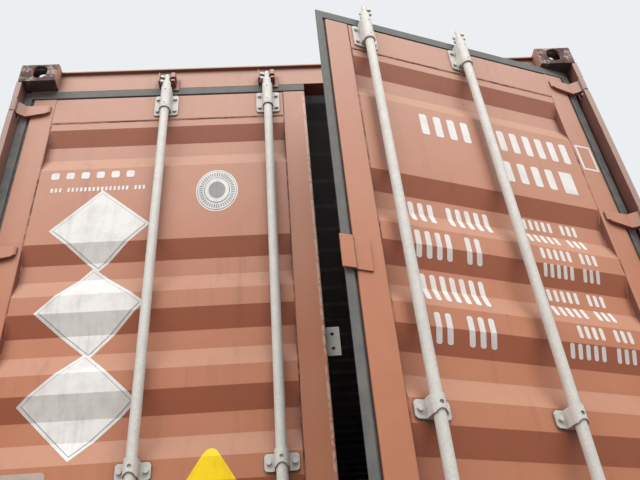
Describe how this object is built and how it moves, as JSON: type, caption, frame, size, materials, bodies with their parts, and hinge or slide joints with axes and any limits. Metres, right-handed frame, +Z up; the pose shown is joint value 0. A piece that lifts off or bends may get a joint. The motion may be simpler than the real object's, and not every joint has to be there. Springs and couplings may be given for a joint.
{
  "type": "shipping container",
  "caption": "Forty foot steel dry freight container with corrugated walls, hinged end doors, turning locking bars and corner castings.",
  "frame": {"origin": "middle of the four bottom corner castings' slots, on the ground", "axes": "+X along the container towards the doors, +Y to the right seen from the door end, +Z up"},
  "size_m": [12.5211, 2.438, 2.591],
  "materials": {
    "paint": "matt, weathered",
    "castings": "rusty",
    "lock_gear": "dull zinc coat",
    "gaskets": "matt",
    "floor": "worn",
    "ventilators": "matt"
  },
  "bodies": {
    "container": {"corner_castings_top": "castings", "corner_castings_bottom": "castings", "door_header": "paint", "rain_gutter": "paint", "door_sill": "paint", "rear_posts": "paint", "hinge_lugs": "paint", "header_keepers": "paint", "sill_keepers": "paint", "front_posts": "paint", "front_top_rail": "paint", "front_sill": "paint", "front_wall": "paint", "top_side_rails": "paint", "bottom_side_rails": "paint", "left_side_wall": "paint", "right_side_wall": "paint", "roof_panels": "paint", "roof_corner_plates": "paint", "ventilators": "ventilators", "crossmembers": "paint", "gooseneck_tunnel": "paint", "floor_boards": "floor", "floor_centre_rail": "paint"},
    "left_door": {"left_door_frame": "paint", "left_door_panel": "paint", "left_door_gasket": "gaskets", "left_door_hinges": "paint", "left_bar_brackets": "lock_gear", "left_handle_retainers": "lock_gear", "left_catch_plate": "lock_gear"},
    "right_door": {"right_door_frame": "paint", "right_door_panel": "paint", "right_door_gasket": "gaskets", "right_door_hinges": "paint", "right_bar_brackets": "lock_gear", "right_handle_retainers": "lock_gear", "right_overlap_plate": "paint"},
    "left_outer_bar_body": {"left_outer_bar": "lock_gear", "left_outer_handle": "lock_gear"},
    "left_inner_bar_body": {"left_inner_bar": "lock_gear", "left_inner_handle": "lock_gear"},
    "right_inner_bar_body": {"right_inner_bar": "lock_gear", "right_inner_handle": "lock_gear"},
    "right_outer_bar_body": {"right_outer_bar": "lock_gear", "right_outer_handle": "lock_gear"}
  },
  "joints": [
    {"name": "left_door_hinge", "type": "hinge", "parent": "container", "child": "left_door", "pos_m": [6.082, -1.205, 1.315], "axis": [0, 0, -1], "range_deg": [0, 265]},
    {"name": "right_door_hinge", "type": "hinge", "parent": "container", "child": "right_door", "pos_m": [6.082, 1.205, 1.315], "axis": [0, 0, 1], "range_deg": [-18, 247]},
    {"name": "left_outer_bar_turn", "type": "hinge", "parent": "left_door", "child": "left_outer_bar_body", "pos_m": [6.074, -0.5865, 1.315], "axis": [0, 0, -1], "range_deg": [-105, 0]},
    {"name": "left_inner_bar_turn", "type": "hinge", "parent": "left_door", "child": "left_inner_bar_body", "pos_m": [6.074, -0.158, 1.315], "axis": [0, 0, -1], "range_deg": [-105, 0]},
    {"name": "right_inner_bar_turn", "type": "hinge", "parent": "right_door", "child": "right_inner_bar_body", "pos_m": [6.38464, 0.24767, 1.315], "axis": [0, 0, 1], "range_deg": [-105, 0]},
    {"name": "right_outer_bar_turn", "type": "hinge", "parent": "right_door", "child": "right_outer_bar_body", "pos_m": [6.25223, 0.65519, 1.315], "axis": [0, 0, 1], "range_deg": [-105, 0]}
  ]
}
